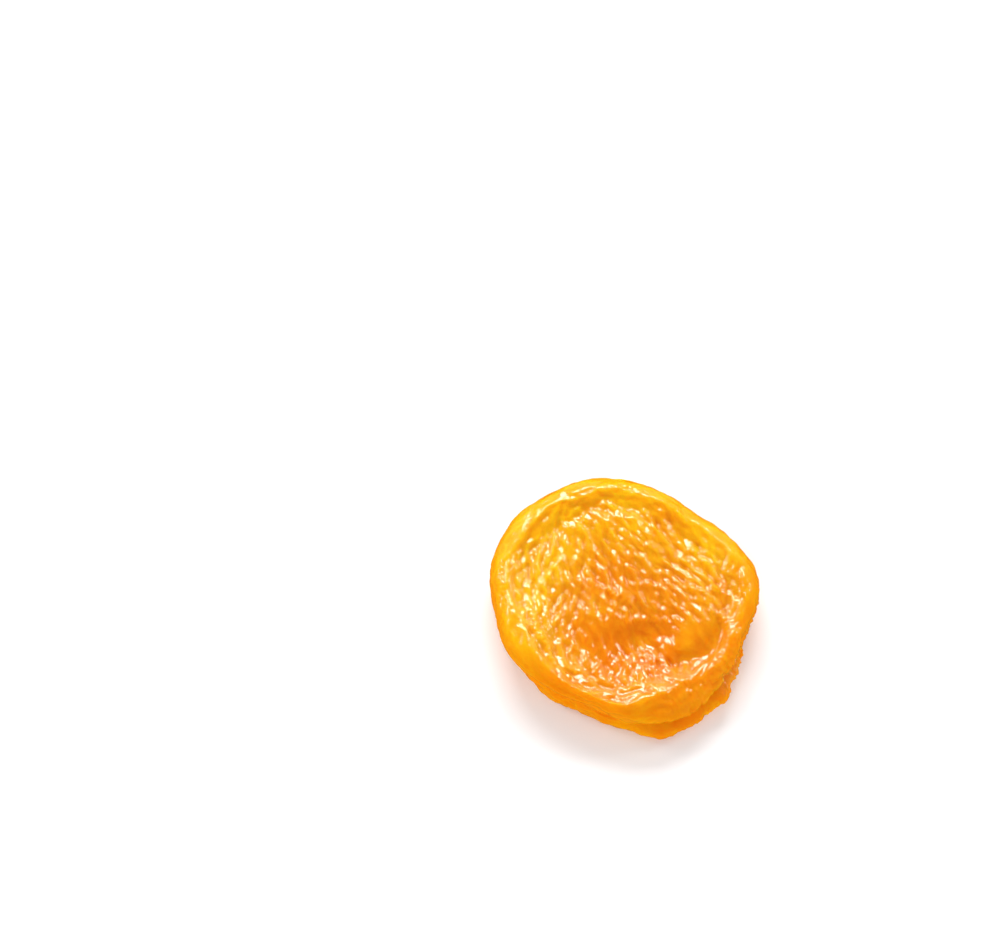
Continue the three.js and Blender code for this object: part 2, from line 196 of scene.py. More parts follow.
@dataclass(frozen=True)
class Body:
    """The smooth fruit under its folds, with the solid's own driving sizes.

    A point of the skin has a bearing and a share, which is 0 in the middle of the upper face,
    0.5 in the seam and 1 in the middle of the underside.
    """

    lip_radius: float = 19.2 * MM
    lip_waves: tuple = (
        Wave(2, 1.45 * MM, -34),
        Wave(3, 0.18 * MM, -50),
        Wave(4, 0.35 * MM, 22),
        Wave(5, 0.36 * MM, 10),
    )
    upper_lip_bulges: tuple = (Bulge(-2.0 * MM, -44, 54),)
    lower_lip_back: float = 0.25 * MM
    lower_lip_bulges: tuple = (
        Bulge(0.5 * MM, -112, 34),
        Bulge(1.0 * MM, -76, 14),
        Bulge(-0.62 * MM, -44, 38),
        Bulge(0.45 * MM, -45, 10),
        Bulge(-0.35 * MM, -150, 26),
        Bulge(-0.6 * MM, -14, 16),
    )
    mouth: Bulge = Bulge(1.0, -42, 50)
    seam_height: float = 4.1 * MM
    seam_waves: tuple = (Wave(2, 0.4 * MM, 60), Wave(3, 0.25 * MM, 100), Wave(5, 0.2 * MM, 20))
    seam_depth: float = 0.45 * MM
    seam_depth_waves: tuple = (Wave(2, 0.2 * MM, 75), Wave(3, 0.2 * MM, 195))
    mouth_depth: float = 2.6 * MM
    lip_gap: float = 0.75 * MM
    lip_turn_in: float = 0.15 * MM
    rim_height: float = 8.5 * MM
    rim_lean: Wave = Wave(1, 0.35 * MM, 245)
    rim_drop_at_mouth: float = 1.3 * MM
    rim_width: float = 3.1 * MM
    rim_width_swing: Wave = Wave(1, 0.75 * MM, 120)
    rim_width_bulges: tuple = (Bulge(-1.1 * MM, -105, 35), Bulge(3.8 * MM, -63, 36))
    crest_in: float = 0.7
    shoulder_in: float = 0.27
    shoulder_drop: float = 0.7 * MM
    widest_drop: float = 2.2 * MM
    dish_inner: float = 0.25
    dish_outer: float = 0.52
    slope_foot: float = 0.82
    dish_height: float = 7.0 * MM
    dish_rise: float = 0.12 * MM
    slope_foot_rise: float = 0.6 * MM
    slope_top_in: float = 1.2 * MM
    slope_top_drop: float = 0.85 * MM
    underside_inner: float = 0.25
    underside_outer: float = 0.5
    lower_widest_height: float = 1.95 * MM
    lower_edge_inward: float = 0.9 * MM
    lower_edge_height: float = 0.5 * MM
    low_ring_inward: float = 3.0 * MM
    low_ring_height: float = -0.05 * MM
    low_ring_inside_inward: float = 5.3 * MM
    low_ring_inside_height: float = 0.55 * MM
    underside_height: float = 1.6 * MM
    underside_fall: float = 0.25 * MM
    hollows: tuple = (
        Hollow(1.5 * MM, -8.0 * MM, 9.5 * MM, 5.0 * MM, 1.6 * MM),
        Hollow(2.7 * MM, -6.6 * MM, 2.6 * MM, 2.2 * MM, 0.4 * MM),
        Hollow(-9.5 * MM, 1.5 * MM, 4.5 * MM, 8.0 * MM, 0.6 * MM),
        Hollow(9.0 * MM, 4.0 * MM, 5.0 * MM, 4.0 * MM, 0.35 * MM),
        Hollow(-1.0 * MM, 10.5 * MM, 11.0 * MM, 5.5 * MM, -0.55 * MM),
    )
    hollow_edge_power: float = 6
    top_to_underside: float = 40
    foot_wave: Wave = Wave(3, 0.35 * MM, 35)
    tear_waves: tuple = (
        Wave(23, 0.14 * MM, 2),
        Wave(37, 0.14 * MM, 6),
        Wave(61, 0.12 * MM, 1),
    )
    fray_waves: tuple = (
        Wave(83, 0.13 * MM, 3),
        Wave(131, 0.13 * MM, 1),
        Wave(187, 0.1 * MM, 2),
    )
    fray: Bulge = Bulge(1.0, -35, 58)
    fray_gaps: float = 0.3
    fray_gap_orders: tuple[int, int] = (9, 4)
    fray_gap_turn: float = 1
    tear_left: float = 0.6
    lip_edge_share: float = 0.03
    lip_edge_spread: float = 0.025
    plain_bearing: float = 120
    step: float = 1e-3
    pole_clearance: float = 2e-3

    def upper_lip(self, theta: np.ndarray) -> np.ndarray:
        """Gives the upper lip's radius at some bearings."""
        return self.lip_radius + total((*self.lip_waves, *self.upper_lip_bulges), theta)

    def lower_lip(self, theta: np.ndarray) -> np.ndarray:
        """Gives the lower lip's radius at some bearings."""
        outline = self.lip_radius + total(self.lip_waves, theta)
        return outline - self.lower_lip_back + total(self.lower_lip_bulges, theta)

    def stations(self, theta: np.ndarray) -> tuple[np.ndarray, np.ndarray]:
        """Gives the half section at some bearings.

        Args:
            theta: The bearings, in radians.

        Returns:
            Radius and height of each station, from the middle of the top, over the rim, into
            the seam, round the lower lip and to the middle of the underside.
        """
        upper, lower = self.upper_lip(theta), self.lower_lip(theta)
        mouth = self.mouth.at(theta)
        seam_depth = self.seam_depth + total(self.seam_depth_waves, theta)
        seam = np.minimum(upper, lower) - seam_depth - self.mouth_depth * mouth
        seam_height = self.seam_height + total(self.seam_waves, theta)
        rim = self.rim_height + self.rim_lean.at(theta) - self.rim_drop_at_mouth * mouth
        width = self.rim_width + total((self.rim_width_swing, *self.rim_width_bulges), theta)
        slope_top = upper - width - self.slope_top_in
        ring = lower - self.low_ring_inward
        dish, under = self.dish_height, self.underside_height
        stations = [
            (0, dish),
            (self.dish_inner * slope_top, dish),
            (self.dish_outer * slope_top, dish + self.dish_rise),
            (self.slope_foot * slope_top, dish + self.slope_foot_rise),
            (slope_top, rim - self.slope_top_drop),
            (upper - self.crest_in * width, rim),
            (upper - self.shoulder_in * width, rim - self.shoulder_drop),
            (upper, rim - self.widest_drop),
            (upper - self.lip_turn_in, seam_height + self.lip_gap),
            (seam, seam_height),
            (lower - self.lip_turn_in, seam_height - self.lip_gap),
            (lower, self.lower_widest_height),
            (lower - self.lower_edge_inward, self.lower_edge_height),
            (ring, self.low_ring_height),
            (lower - self.low_ring_inside_inward, self.low_ring_inside_height),
            (self.underside_outer * ring, under - self.underside_fall),
            (self.underside_inner * ring, under),
            (0, under),
        ]
        radius = np.stack([np.broadcast_to(r, theta.shape) for r, _ in stations])
        height = np.stack([np.broadcast_to(z, theta.shape) for _, z in stations])
        return radius.astype(float), height.astype(float)

    def knots(self) -> np.ndarray:
        """Measures the share of each station, once, along a plain bearing.

        Returns:
            The shares, from 0 to 1.
        """
        radius, height = self.stations(np.array([math.radians(self.plain_bearing)]))
        steps = np.hypot(np.diff(radius[:, 0]), np.diff(height[:, 0]))
        along = np.concatenate([[0], np.cumsum(steps)])
        return along / along[-1]

    def section(self, theta: np.ndarray, share: np.ndarray) -> tuple[np.ndarray, np.ndarray]:
        """Follows a smooth curve through the stations.

        Args:
            theta: The bearings, in radians.
            share: The share of the section at each bearing.

        Returns:
            Radius and height of each point.
        """
        knots = self.knots()
        last = len(knots) - 1
        stations = self.stations(theta)
        k = np.clip(np.searchsorted(knots, share, side="right") - 1, 0, last - 1)
        gap = knots[k + 1] - knots[k]
        u = (share - knots[k]) / gap
        column = np.arange(len(theta))
        curves = []
        for axis, values in enumerate(stations):

            def slope(i: np.ndarray) -> np.ndarray:
                """Works out the curve's slope from the stations on both sides.

                Args:
                    i: The number of the station at each point.

                Returns:
                    The slope at each point.
                """
                before, after = np.maximum(i - 1, 0), np.minimum(i + 1, last)
                rise = values[after, column] - values[before, column]
                level = (axis == 1) & (after - before == 1)
                return np.where(level, 0, rise / (knots[after] - knots[before]) * gap)

            curves.append(
                (2 * u**3 - 3 * u**2 + 1) * values[k, column]
                + (u**3 - 2 * u**2 + u) * slope(k)
                + (3 * u**2 - 2 * u**3) * values[k + 1, column]
                + (u**3 - u**2) * slope(k + 1)
            )
        return curves[0], curves[1]

    def points(self, theta: np.ndarray, share: np.ndarray, frayed: bool = False) -> np.ndarray:
        """Gives points of the smooth skin.

        Args:
            theta: The bearings, in radians.
            share: The share of the section at each bearing.
            frayed: Whether the torn lips have their finest teeth too.

        Returns:
            One row for each point, before the fruit is set on its origin.
        """
        radius, height = self.section(theta, share)
        from_lip = (np.abs(share - 0.5) - self.lip_edge_share) / self.lip_edge_spread
        edge = np.exp(-(from_lip**2))
        teeth = total(self.tear_waves, theta) * self.mouth.at(theta)
        if frayed:
            often, seldom = self.fray_gap_orders
            beat = np.cos(often * theta + self.fray_gap_turn) * np.cos(seldom * theta)
            ragged = 1 - self.fray_gaps * (1 - beat)
            frays = total(self.fray_waves, theta) * self.fray.at(theta) * ragged
            teeth = self.tear_left * teeth + frays
        r = radius + teeth * edge
        x, y = r * np.cos(theta), r * np.sin(theta)
        out = np.minimum(radius / self.lip_radius, 1)
        pressed = sum(hollow.at(x, y) for hollow in self.hollows)
        upper_side = 1 / (1 + np.exp((share - 0.5) * self.top_to_underside))
        inner = 1 - out**self.hollow_edge_power
        z = height - upper_side * pressed * inner - self.foot_wave.at(theta) * out**2
        return np.stack([x, y, z], axis=1)

    def outward(self, theta: np.ndarray, share: np.ndarray) -> np.ndarray:
        """Works out the skin's outward direction.

        Args:
            theta: The bearings of the points, in radians.
            share: Their shares of the section.

        Returns:
            One unit vector for each point.
        """
        step = self.step
        s = np.clip(share, self.pole_clearance, 1 - self.pole_clearance)
        along = self.points(theta, s + step) - self.points(theta, s - step)
        round_about = self.points(theta + step, s) - self.points(theta - step, s)
        normal = np.cross(along, round_about)
        return normal / np.linalg.norm(normal, axis=1, keepdims=True)

    def out_share(self, points: np.ndarray, theta: np.ndarray) -> np.ndarray:
        """Gives how far out towards the lip each point is, from 0 to 1."""
        return np.hypot(points[:, 0], points[:, 1]) / self.upper_lip(theta)


@dataclass(frozen=True)
class Grain:
    """The way that the folds run: leaning over from left to right, and round the rim near it."""

    left_bearing: float = 88
    turn: float = 44
    start: float = -13 * MM
    end: float = 9 * MM
    slant: float = 0.35
    below_bearing: float = 60
    below_swing: float = 30
    below_sway: float = 20
    below_pitch_x: float = 42 * MM
    below_pitch_y: float = 52 * MM
    rimward: tuple[float, float] = (0.66, 0.86)

    def directions(
        self,
        body: Body,
        theta: np.ndarray,
        share: np.ndarray,
        points: np.ndarray,
        normals: np.ndarray,
        turned: np.ndarray,
    ) -> np.ndarray:
        """Gives the direction of the folds.

        Args:
            body: The smooth fruit.
            theta: The bearings of the places, in radians.
            share: Their shares of the section.
            points: The places themselves.
            normals: The outward directions there.
            turned: How far each fold is turned off the grain, in radians.

        Returns:
            A unit vector along the skin for each place.
        """
        x, y = points[:, 0], points[:, 1]
        above = self.left_bearing + self.turn * smooth(x + self.slant * y, self.start, self.end)
        swing = self.below_swing * np.sin(TURN * x / self.below_pitch_x)
        sway = self.below_sway * np.cos(TURN * y / self.below_pitch_y)
        below = self.below_bearing + swing - sway
        bearing = np.radians(np.where(share < 0.5, above, below)) + turned
        flat = np.zeros_like(x)
        ring = np.stack([-np.sin(theta), np.cos(theta), flat], axis=1)
        face = np.stack([np.cos(bearing), np.sin(bearing), flat], axis=1)
        face *= np.where((face * ring).sum(1) < 0, -1, 1)[:, None]
        edge = smooth(body.out_share(points, theta), *self.rimward)[:, None]
        on_rim = ring * np.cos(turned)[:, None]
        on_rim += np.cross(normals, ring) * np.sin(turned)[:, None]
        grain = face * (1 - edge) + on_rim * edge
        grain -= (grain * normals).sum(1)[:, None] * normals
        return grain / np.linalg.norm(grain, axis=1, keepdims=True)


@dataclass(frozen=True)
class Folds:
    """A field of folds: overlapping patches of waves, each lying along the grain."""

    seed: int
    patches: int
    spacing: float
    length: float
    width: float
    wander: float
    pitch_least: float = 0.75
    pitch_swing: float = 0.5
    reach_through: float = 1.7 * MM
    far_away: float = 8
    thin_cover: float = 0.02

    def wave(self, body: Body, grain: Grain, points: np.ndarray) -> np.ndarray:
        """Gives the folds' wave.

        Args:
            body: The smooth fruit.
            grain: The way that the folds run.
            points: Points of the smooth skin.

        Returns:
            About 1 at its highest, and 0 along the crest of each fold.
        """
        draw = seeded(self.seed)
        drawn = np.array([[draw() for _ in range(6)] for _ in range(self.patches)])
        theta = TURN * drawn[:, 0]
        share = np.arccos(1 - 2 * drawn[:, 1]) / math.pi
        phase = TURN * drawn[:, 2]
        turned = math.radians(self.wander) * (drawn[:, 3] + drawn[:, 4] - 1)
        pitch = self.spacing * (self.pitch_least + self.pitch_swing * drawn[:, 5])
        centres = body.points(theta, share)
        normals = body.outward(theta, share)
        along = grain.directions(body, theta, share, centres, normals, turned)
        across = np.cross(normals, along)
        order = np.argsort(points[:, 0])
        xs = points[order, 0]
        reach = math.sqrt(self.far_away) * max(self.length, self.width)
        height, power = np.zeros(len(points)), np.zeros(len(points))
        for i in range(self.patches):
            low, high = np.searchsorted(xs, [centres[i, 0] - reach, centres[i, 0] + reach])
            near = order[low:high]
            near = near[np.abs(points[near, 1] - centres[i, 1]) < reach]
            away = points[near] - centres[i]
            sideways = away @ across[i]
            spread = (
                (away @ along[i] / self.length) ** 2
                + (sideways / self.width) ** 2
                + (away @ normals[i] / self.reach_through) ** 2
            )
            weight = np.where(spread > self.far_away, 0, np.exp(-spread))
            height[near] += weight * np.cos(TURN * sideways / pitch[i] + phase[i])
            power[near] += weight**2
        return height / np.sqrt(power / 2 + self.thin_cover)


@dataclass(frozen=True)
class Lumps:
    """Wide soft swellings of the whole skin."""

    seed: int = 5
    count: int = 24
    size: float = 11 * MM
    pitch_least: float = 0.75
    pitch_swing: float = 0.8

    def at(self, points: np.ndarray) -> np.ndarray:
        """Works out the swellings' height.

        Args:
            points: Points of the smooth skin.

        Returns:
            The height at each point, about 1 at the highest.
        """
        draw = seeded(self.seed)
        height = np.zeros(len(points))
        for _ in range(self.count):
            up, bearing = 2 * draw() - 1, TURN * draw()
            flat = math.sqrt(1 - up**2)
            direction = np.array([flat * math.cos(bearing), flat * math.sin(bearing), up])
            pitch = self.size * (self.pitch_least + self.pitch_swing * draw())
            height += np.sin(points @ direction * TURN / pitch + TURN * draw())
        return height / math.sqrt(self.count / 2)


@dataclass(frozen=True)
class CalmPlace:
    """A place of the upper face where the skin lies smooth, in millimetres."""

    x: float
    y: float
    reach_x: float
    reach_y: float
    share: float

    def at(self, points: np.ndarray) -> np.ndarray:
        """Works out how much of the fine folds is gone.

        Args:
            points: Points of the smooth skin.

        Returns:
            The share that is gone at each point.
        """
        x, y = points[:, 0] - self.x * MM, points[:, 1] - self.y * MM
        away = (x / (self.reach_x * MM)) ** 2 + (y / (self.reach_y * MM)) ** 2
        return self.share * np.exp(-(away**2))


CALM_PLACES = (
    CalmPlace(-1.5, -5.4, 6.0, 2.6, 0.8),
    CalmPlace(10.4, -6.6, 4.4, 3.4, 0.85),
    CalmPlace(9.0, -13.6, 4.6, 2.4, 0.3),
)


@dataclass(frozen=True)
class Crease:
    """A raised line along a bent stroke in plan, fading at both ends, in millimetres."""

    start: tuple[float, float]
    bend: tuple[float, float]
    end: tuple[float, float]
    height: float
    width: float
    steps: int = 12
    end_margin: float = 0.02

    def at(self, points: np.ndarray) -> np.ndarray:
        """Works out the crease's height.

        Args:
            points: Points of the smooth skin.

        Returns:
            The height at each point, in metres.
        """
        start, bend, end = (np.array(p) * MM for p in (self.start, self.bend, self.end))
        control = 2 * bend - (start + end) / 2
        u = np.linspace(0, 1, self.steps + 1)[:, None]
        path = (1 - u) ** 2 * start + 2 * u * (1 - u) * control + u**2 * end
        away = np.linalg.norm(points[:, None, :2] - path[None], axis=2)
        place = np.clip(away.argmin(1) / self.steps, self.end_margin, 1 - self.end_margin)
        ends = np.sqrt(np.sin(math.pi * place))
        return self.height * MM * ends * np.exp(-((away.min(1) / (self.width * MM)) ** 2))


CREASES = (
    Crease((7.4, 1.5), (10.2, 1.0), (13.4, -0.5), 0.32, 0.45),
    Crease((-5.1, 2.4), (-2.3, 0.9), (2.1, -2.4), 0.3, 0.45),
    Crease((11.6, 6.0), (13.3, 3.6), (14.1, 0.8), 0.35, 0.5),
    Crease((13.4, 6.0), (15.0, 3.6), (15.5, 0.4), 0.25, 0.45),
    Crease((-0.7, -4.6), (2.2, -3.2), (5.2, -4.4), 0.35, 0.6),
    Crease((2.6, -10.6), (4.4, -11.4), (5.8, -10.2), 0.3, 0.5),
    Crease((-14.2, -1.0), (-13.2, -5.4), (-10.4, -9.6), 0.35, 0.6),
    Crease((13.7, -2.0), (15.7, -6.4), (13.4, -11.2), 0.85, 1.2),
    Crease((4.0, -15.2), (7.4, -13.8), (10.4, -10.9), 0.35, 0.55),
    Crease((-17.6, 7.6), (-18.3, 3.4), (-17.7, -1.4), 0.18, 0.4),
    Crease((-5.0, 16.6), (-1.6, 17.1), (2.6, 16.8), 0.18, 0.4),
    Crease((16.9, -6.0), (15.6, -9.6), (12.2, -13.4), 0.22, 0.35),
    Crease((13.4, -10.6), (9.4, -14.6), (4.6, -16.6), 0.2, 0.35),
    Crease((11.2, -14.4), (8.2, -16.6), (4.0, -17.8), 0.22, 0.3),
)


class SkinMark(Enum):
    """What the flesh's finish reads off the skin, each a number at every point."""

    # The rim's yellow, which is also painted glow: strongest on the side towards the back lamp,
    # standing in for light through the thin rim.
    YELLOW_AND_GLOW = "yellow_rim_and_painted_glow"
    # Painted shade: the valleys of the broad folds, which take a deeper orange.
    VALLEY_SHADE = "fold_valley"
    # Torn flesh at the seam and the slit, and painted shade: a redder orange laid over the
    # underside.
    TORN_AND_SHADE = "torn_lip_and_underside_shade"
    HOLLOW = "pressed_hollow"
    FILM = "moist_film"
    LUMP = "lump"


@dataclass(frozen=True)
class SkinMarks:
    """Where the skin is yellow, torn, pressed in or covered by a moist film, and where glow and
    shade are painted: yellow glow on the rim towards the back lamp, shade over the underside.
    """

    sunny_bearing: float = 115
    lower_side: tuple[float, float] = (0.47, 0.56)
    outer_edge: tuple[float, float] = (0.92, 1.0)
    seam_reach: float = 0.045
    lip_reach: float = 0.13
    yellow_outward: tuple[float, float] = (0.18, 0.8)
    # The rim's painted glow: the least yellow, on the side away from the back lamp.
    yellow_least: float = 0.1
    yellow_gone_at_edge: float = 0.75
    torn_seam: float = 0.8
    # Painted shade: how much redder torn orange lies over the underside, and how much less of it
    # towards the back lamp.
    underside_shade: float = 0.8
    underside_shade_gone_when_sunny: float = 0.4
    torn_most: float = 0.86
    full_hollow: float = 1.3 * MM
    film_least: float = 0.3
    film_when_sunny: float = 0.3
    film_on_face: float = 0.7
    film_gone_below: float = 0.5
    film_at_mouth: float = 0.5

    def at(
        self,
        body: Body,
        theta: np.ndarray,
        share: np.ndarray,
        points: np.ndarray,
        on_face: np.ndarray,
    ) -> dict[SkinMark, np.ndarray]:
        """Works out the marks that follow the smooth body.

        Args:
            body: The smooth fruit.
            theta: The bearings of the points, in radians.
            share: Their shares of the section.
            points: Points of the smooth skin.
            on_face: How much each point lies on the folded face.

        Returns:
            One set of numbers from 0 to 1 for each mark.
        """
        out = body.out_share(points, theta)
        # How far each bearing faces the back lamp; the rim's painted glow and the underside's
        # painted shade follow it.
        sunny = 0.5 + 0.5 * np.cos(theta - math.radians(self.sunny_bearing))
        below = smooth(share, *self.lower_side)
        edge = self.yellow_gone_at_edge * smooth(out, *self.outer_edge)
        seam = np.exp(-(((share - 0.5) / self.seam_reach) ** 2))
        lip = np.exp(-(((share - 0.5) / self.lip_reach) ** 2)) * body.fray.at(theta)
        pressed = sum(hollow.at(points[:, 0], points[:, 1]) for hollow in body.hollows)
        # Painted glow: the rim's yellow is strongest towards the back lamp and gone on the
        # underside.
        yellow = self.yellow_least + (1 - self.yellow_least) * sunny
        yellow *= smooth(out, *self.yellow_outward) * (1 - below) * (1 - edge)
        torn = self.torn_seam * seam
        # Painted shade: a redder orange over the underside, less of it towards the back lamp.
        torn += below * (self.underside_shade - self.underside_shade_gone_when_sunny * sunny)
        film = self.film_least + self.film_when_sunny * sunny
        film += self.film_on_face * on_face * (1 - self.film_gone_below * below)
        film += self.film_at_mouth * body.mouth.at(theta) * (1 - below)
        return {
            SkinMark.YELLOW_AND_GLOW: yellow,
            SkinMark.TORN_AND_SHADE: np.maximum(lip, np.minimum(torn, self.torn_most)),
            SkinMark.HOLLOW: np.clip(pressed / self.full_hollow, 0, 1) * (share < 0.5),
            SkinMark.FILM: np.clip(film, 0, 1),
        }


@dataclass
class DriedApricot:
    """The whole fruit: one folded skin round its flesh, closed all round."""

    body: Body = field(default_factory=Body)
    grain: Grain = field(default_factory=Grain)
    lumps: Lumps = field(default_factory=Lumps)
    marks: SkinMarks = field(default_factory=SkinMarks)
    broad_folds: Folds = Folds(11, 1000, 4.4 * MM, 3.4 * MM, 2.1 * MM, 30)
    fine_folds: Folds = Folds(29, 4600, 2.2 * MM, 1.9 * MM, 0.95 * MM, 60)
    finest_folds: Folds = Folds(47, 12000, 1.15 * MM, 1.3 * MM, 0.6 * MM, 50)
    broad_height: float = 0.36 * MM
    broad_level: float = 0.35
    fine_height: float = 0.15 * MM
    fine_limit: float = 1.6
    finest_height: float = 0.035 * MM
    lump_height: float = 0.26 * MM
    lump_on_rim: float = 0.7
    patchy_least: float = 0.6
    patchy_swing: float = 0.4
    patchy_middle: float = 0.5
    patchy_most: float = 1.2
    mark_middle: float = 0.5
    mark_swing: float = 0.35
    fold_valley: float = 1.6
    broad_rounding: float = 0.4
    folds_on_rim: float = 0.3
    folds_on_side: float = 0.42
    folds_at_mouth: float = 0.2
    fine_on_rim: float = 0.4
    fine_on_side: float = 0.6
    fine_at_mouth: float = 0.35
    seam_calm: float = 0.016
    drawn_in: float = 0.05
    ball_splits: int = 6
    edge_cuts: int = 2

    def ball(self) -> bpy.types.Mesh:
        """Makes a fine ball as the skin's starting mesh.

        Returns:
            The ball's mesh, with a radius of one.
        """
        shell = bmesh.new()
        bmesh.ops.create_icosphere(shell, subdivisions=self.ball_splits, radius=1)
        cuts = self.edge_cuts
        bmesh.ops.subdivide_edges(shell, edges=shell.edges[:], cuts=cuts, use_grid_fill=True)
        bmesh.ops.recalc_face_normals(shell, faces=shell.faces[:])
        mesh = bpy.data.meshes.new("dried_apricot_skin")
        shell.to_mesh(mesh)
        shell.free()
        return mesh

    def crest(self, wave: np.ndarray) -> np.ndarray:
        """Turns a wave into broad folds, 1 on each crest and 0 in the valleys."""
        away = np.hypot(wave, self.broad_rounding)
        return 1 - np.minimum(away, self.fold_valley) / self.fold_valley

    def relief(
        self, theta: np.ndarray, share: np.ndarray, points: np.ndarray
    ) -> tuple[np.ndarray, dict[SkinMark, np.ndarray]]:
        """Works out how far the folded skin stands out from the smooth body.

        Args:
            theta: The bearings of the points, in radians.
            share: Their shares of the section.
            points: Points of the smooth skin.

        Returns:
            The height at each point, and what the finish reads there.
        """
        lump = self.lumps.at(points)
        knots = self.body.knots()
        on_top = 1 - smooth(share, knots[Station.SLOPE_TOP], knots[Station.SHOULDER])
        on_underside = smooth(share, knots[Station.LOWER_EDGE], knots[Station.RING_INSIDE])
        on_face = np.where(share < 0.5, on_top, on_underside)
        side = smooth(share, knots[Station.WIDEST], knots[Station.LOWER_LIP])
        mouth = self.body.mouth.at(theta) * (1 - side)
        rim_folds = self.folds_on_rim + (self.folds_on_side - self.folds_on_rim) * side
        rim_folds += self.folds_at_mouth * mouth
        rim_fine = self.fine_on_rim + (self.fine_on_side - self.fine_on_rim) * side
        rim_fine += self.fine_at_mouth * mouth
        folded = rim_folds + (1 - rim_folds) * on_face
        swelling = np.clip(self.patchy_middle + lump, 0, self.patchy_most)
        patchy = self.patchy_least + self.patchy_swing * swelling
        limit = self.fine_limit
        broad = self.crest(self.broad_folds.wave(self.body, self.grain, points))
        fine = np.clip(self.fine_folds.wave(self.body, self.grain, points), -limit, limit)
        finest = np.clip(self.finest_folds.wave(self.body, self.grain, points), -limit, limit)
        calmed = 1 - sum(place.at(points) for place in CALM_PLACES) * (share < 0.5)
        fine_folded = (rim_fine + (1 - rim_fine) * on_face) * np.clip(calmed, 0, 1)
        creases = sum(crease.at(points) for crease in CREASES) * (share < 0.5)
        calm = 1 - np.exp(-(((share - 0.5) / self.seam_calm) ** 2))
        height = self.broad_height * (broad - self.broad_level) * folded * patchy
        swell = self.lump_on_rim + (1 - self.lump_on_rim) * on_face
        height += self.lump_height * lump * swell
        marks = self.marks.at(self.body, theta, share, points, on_face)
        # Painted shade: the valleys of the broad folds take a deeper orange.
        marks[SkinMark.VALLEY_SHADE] = 1 - np.clip(broad, 0, 1)
        marks[SkinMark.LUMP] = np.clip(self.mark_middle + self.mark_swing * lump, 0, 1)
        fine_height = self.fine_height * fine + self.finest_height * finest
        return (height + creases) * calm + fine_height * fine_folded, marks

    def skin(self) -> bpy.types.Object:
        """Builds the skin and sets it where the solid is.

        Returns:
            The fruit's object, with what its finish reads on its mesh.
        """
        mesh = self.ball()
        count = len(mesh.vertices)
        ball = np.empty(count * 3)
        mesh.vertices.foreach_get("co", ball)
        ball = ball.reshape(-1, 3)
        ball /= np.linalg.norm(ball, axis=1, keepdims=True)
        theta = np.arctan2(ball[:, 1], ball[:, 0])
        fall = np.arccos(np.clip(ball[:, 2], -1, 1)) / math.pi
        share = fall - self.drawn_in * np.sin(TURN * fall)
        plain = self.body.points(theta, share)
        height, marks = self.relief(theta, share, plain)
        points = self.body.points(theta, share, frayed=True)
        points += self.body.outward(theta, share) * height[:, None]
        points[:, 2] = np.maximum(points[:, 2], 0)
        low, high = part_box(NODE)
        middle = (points.max(0) + points.min(0)) / 2
        points[:, 0] += (low.x + high.x) / 2 - middle[0]
        points[:, 1] += (low.y + high.y) / 2 - middle[1]
        mesh.vertices.foreach_set("co", points.ravel())
        mesh.polygons.foreach_set("use_smooth", np.ones(len(mesh.polygons), bool))
        for mark, values in marks.items():
            attribute = mesh.attributes.new(mark.value, "FLOAT", "POINT")
            attribute.data.foreach_set("value", values.astype(np.float32))
        mesh.update()
        fruit = bpy.data.objects.new("dried_apricot_flesh", mesh)
        bpy.context.scene.collection.objects.link(fruit)
        return fruit

    def build(self) -> bpy.types.Object:
        """Builds the fruit, dresses it and puts it in the solid's place.

        Returns:
            The fruit's object.
        """
        fruit = self.skin()
        fruit.data.materials.append(MoistFlesh().material())
        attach(fruit, "root")
        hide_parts(NODE)
        log.info("%s: %d faces", fruit.name, len(fruit.data.polygons))
        return fruit


@dataclass(frozen=True)
class Ramp:
    """A smooth change from one value to another while what it reads crosses a span."""

    span: tuple[float, float]
    to: tuple[float, float] = (0, 1)


@dataclass(frozen=True)
class Clouds:
    """A soft cloudy pattern, and how much of a colour it lays over the skin."""

    size: float
    detail: float
    ramp: Ramp


